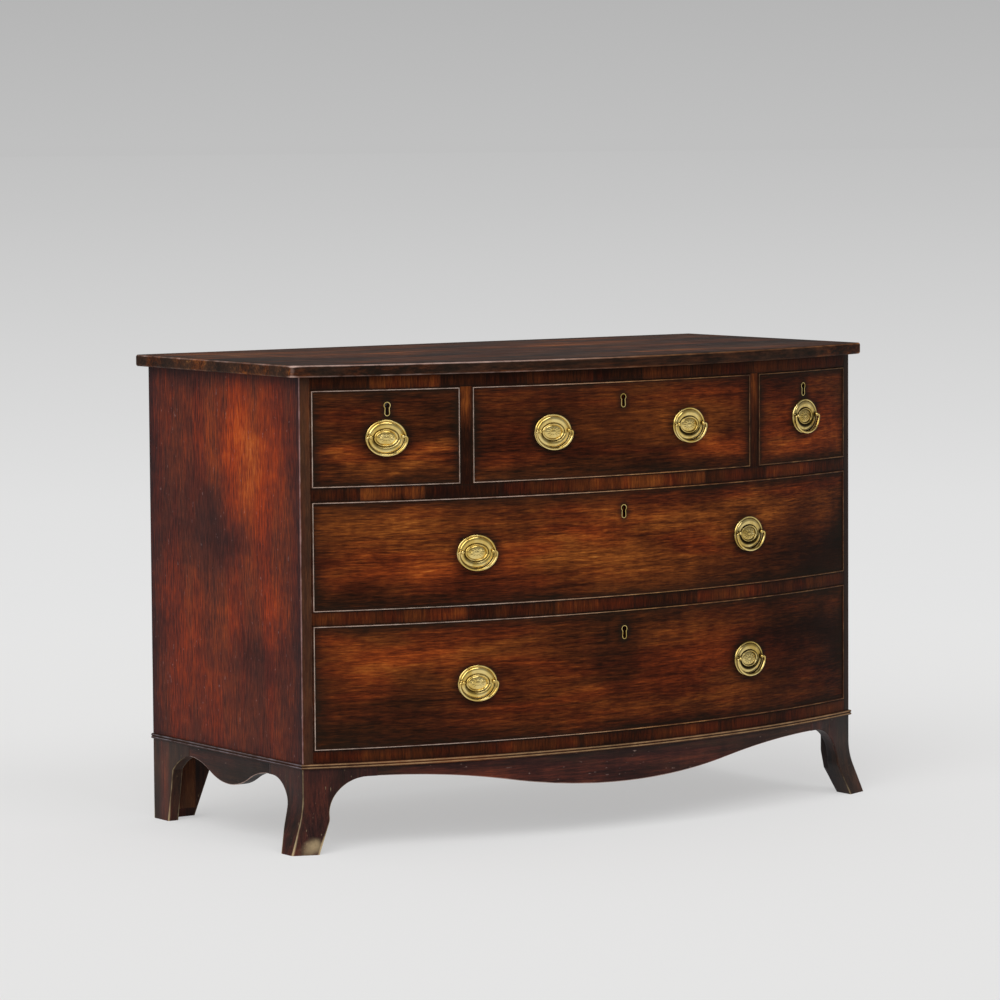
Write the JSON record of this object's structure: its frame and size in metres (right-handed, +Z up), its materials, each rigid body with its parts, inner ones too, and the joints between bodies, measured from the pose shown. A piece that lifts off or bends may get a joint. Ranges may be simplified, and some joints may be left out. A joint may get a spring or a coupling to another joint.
{
  "type": "chest of drawers",
  "caption": "Low chest of drawers with a bowed front, short drawers over long ones, oval bail handles, a shaped apron and splayed feet.",
  "frame": {"origin": "on the floor, under the middle of the bounding box of the whole chest", "axes": "+Z up; +X to the right as one faces the chest; the bowed front looks towards -Y"},
  "size_m": [1.2042, 0.62, 0.8055],
  "materials": {
    "mahogany_top": "french polished, aged",
    "mahogany_side": "french polished, aged",
    "mahogany_front": "french polished figured veneer",
    "mahogany_base": "polished, worn at the toes",
    "crossbanding": "french polished cross-grained veneer",
    "cockbead": "worn polish",
    "moulding_wood": "worn polish",
    "oak": "bare, dry",
    "pine": "bare, dry",
    "brass": "polished, dark in the hollows",
    "lock_iron": "dull, oiled",
    "iron": "dull, slightly rusty"
  },
  "bodies": {
    "carcase": {"top_board": "mahogany_top", "side_left": "mahogany_side", "side_right": "mahogany_side", "back_boards": "pine", "bottom_board": "pine", "top_rails": "crossbanding", "rail_upper": "crossbanding", "rail_lower": "crossbanding", "rail_bottom": "crossbanding", "dividers": "crossbanding", "partitions": "pine", "dust_boards": "pine", "drawer_runners": "oak", "drawer_stops": "oak", "base_moulding": "moulding_wood", "apron_front": "mahogany_base", "aprons_side": "mahogany_base", "foot_front_left": "mahogany_base", "foot_front_right": "mahogany_base", "foot_rear_left": "mahogany_base", "foot_rear_right": "mahogany_base", "top_screws": "iron"},
    "left_drawer": {"left_drawer_front": "mahogany_front", "left_drawer_box": "oak", "left_drawer_cockbead": "cockbead", "left_drawer_brasses": "brass", "left_drawer_lock": "lock_iron"},
    "left_drawer_bail": {"left_drawer_bail": "brass"},
    "left_drawer_bolt": {"left_drawer_bolt": "lock_iron"},
    "centre_drawer": {"centre_drawer_front": "mahogany_front", "centre_drawer_box": "oak", "centre_drawer_cockbead": "cockbead", "centre_drawer_brasses": "brass", "centre_drawer_lock": "lock_iron"},
    "centre_drawer_bail_left": {"centre_drawer_bail_left": "brass"},
    "centre_drawer_bail_right": {"centre_drawer_bail_right": "brass"},
    "centre_drawer_bolt": {"centre_drawer_bolt": "lock_iron"},
    "right_drawer": {"right_drawer_front": "mahogany_front", "right_drawer_box": "oak", "right_drawer_cockbead": "cockbead", "right_drawer_brasses": "brass", "right_drawer_lock": "lock_iron"},
    "right_drawer_bail": {"right_drawer_bail": "brass"},
    "right_drawer_bolt": {"right_drawer_bolt": "lock_iron"},
    "middle_drawer": {"middle_drawer_front": "mahogany_front", "middle_drawer_box": "oak", "middle_drawer_cockbead": "cockbead", "middle_drawer_brasses": "brass", "middle_drawer_lock": "lock_iron"},
    "middle_drawer_bail_left": {"middle_drawer_bail_left": "brass"},
    "middle_drawer_bail_right": {"middle_drawer_bail_right": "brass"},
    "middle_drawer_bolt": {"middle_drawer_bolt": "lock_iron"},
    "bottom_drawer": {"bottom_drawer_front": "mahogany_front", "bottom_drawer_box": "oak", "bottom_drawer_cockbead": "cockbead", "bottom_drawer_brasses": "brass", "bottom_drawer_lock": "lock_iron"},
    "bottom_drawer_bail_left": {"bottom_drawer_bail_left": "brass"},
    "bottom_drawer_bail_right": {"bottom_drawer_bail_right": "brass"},
    "bottom_drawer_bolt": {"bottom_drawer_bolt": "lock_iron"}
  },
  "joints": [
    {"name": "left_drawer_slide", "type": "slide", "parent": "carcase", "child": "left_drawer", "axis": [0, -1, 0], "range_m": [0, 0.34]},
    {"name": "left_drawer_bail_hinge", "type": "hinge", "parent": "left_drawer", "child": "left_drawer_bail", "pos_m": [-0.43898, -0.23969, 0.685], "axis": [-0.9599, 0.2804, 0], "range_deg": [0, 175]},
    {"name": "left_drawer_bolt_slide", "type": "slide", "parent": "left_drawer", "child": "left_drawer_bolt", "axis": [0, 0, 1], "range_m": [0, 0.008]},
    {"name": "centre_drawer_slide", "type": "slide", "parent": "carcase", "child": "centre_drawer", "axis": [0, -1, 0], "range_m": [0, 0.34]},
    {"name": "centre_drawer_bail_left_hinge", "type": "hinge", "parent": "centre_drawer", "child": "centre_drawer_bail_left", "pos_m": [-0.14218, -0.29603, 0.685], "axis": [-0.9959, 0.0908, 0], "range_deg": [0, 175]},
    {"name": "centre_drawer_bail_right_hinge", "type": "hinge", "parent": "centre_drawer", "child": "centre_drawer_bail_right", "pos_m": [0.14218, -0.29603, 0.685], "axis": [-0.9959, -0.0908, 0], "range_deg": [0, 175]},
    {"name": "centre_drawer_bolt_slide", "type": "slide", "parent": "centre_drawer", "child": "centre_drawer_bolt", "axis": [0, 0, 1], "range_m": [0, 0.008]},
    {"name": "right_drawer_slide", "type": "slide", "parent": "carcase", "child": "right_drawer", "axis": [0, -1, 0], "range_m": [0, 0.34]},
    {"name": "right_drawer_bail_hinge", "type": "hinge", "parent": "right_drawer", "child": "right_drawer_bail", "pos_m": [0.43898, -0.23969, 0.685], "axis": [-0.9599, -0.2804, 0], "range_deg": [0, 175]},
    {"name": "right_drawer_bolt_slide", "type": "slide", "parent": "right_drawer", "child": "right_drawer_bolt", "axis": [0, 0, 1], "range_m": [0, 0.008]},
    {"name": "middle_drawer_slide", "type": "slide", "parent": "carcase", "child": "middle_drawer", "axis": [0, -1, 0], "range_m": [0, 0.34]},
    {"name": "middle_drawer_bail_left_hinge", "type": "hinge", "parent": "middle_drawer", "child": "middle_drawer_bail_left", "pos_m": [-0.28537, -0.27627, 0.48955], "axis": [-0.9832, 0.1823, 0], "range_deg": [0, 175]},
    {"name": "middle_drawer_bail_right_hinge", "type": "hinge", "parent": "middle_drawer", "child": "middle_drawer_bail_right", "pos_m": [0.28537, -0.27627, 0.48955], "axis": [-0.9832, -0.1823, 0], "range_deg": [0, 175]},
    {"name": "middle_drawer_bolt_slide", "type": "slide", "parent": "middle_drawer", "child": "middle_drawer_bolt", "axis": [0, 0, 1], "range_m": [0, 0.008]},
    {"name": "bottom_drawer_slide", "type": "slide", "parent": "carcase", "child": "bottom_drawer", "axis": [0, -1, 0], "range_m": [0, 0.34]},
    {"name": "bottom_drawer_bail_left_hinge", "type": "hinge", "parent": "bottom_drawer", "child": "bottom_drawer_bail_left", "pos_m": [-0.28537, -0.27627, 0.27205], "axis": [-0.9832, 0.1823, 0], "range_deg": [0, 175]},
    {"name": "bottom_drawer_bail_right_hinge", "type": "hinge", "parent": "bottom_drawer", "child": "bottom_drawer_bail_right", "pos_m": [0.28537, -0.27627, 0.27205], "axis": [-0.9832, -0.1823, 0], "range_deg": [0, 175]},
    {"name": "bottom_drawer_bolt_slide", "type": "slide", "parent": "bottom_drawer", "child": "bottom_drawer_bolt", "axis": [0, 0, 1], "range_m": [0, 0.008]}
  ]
}
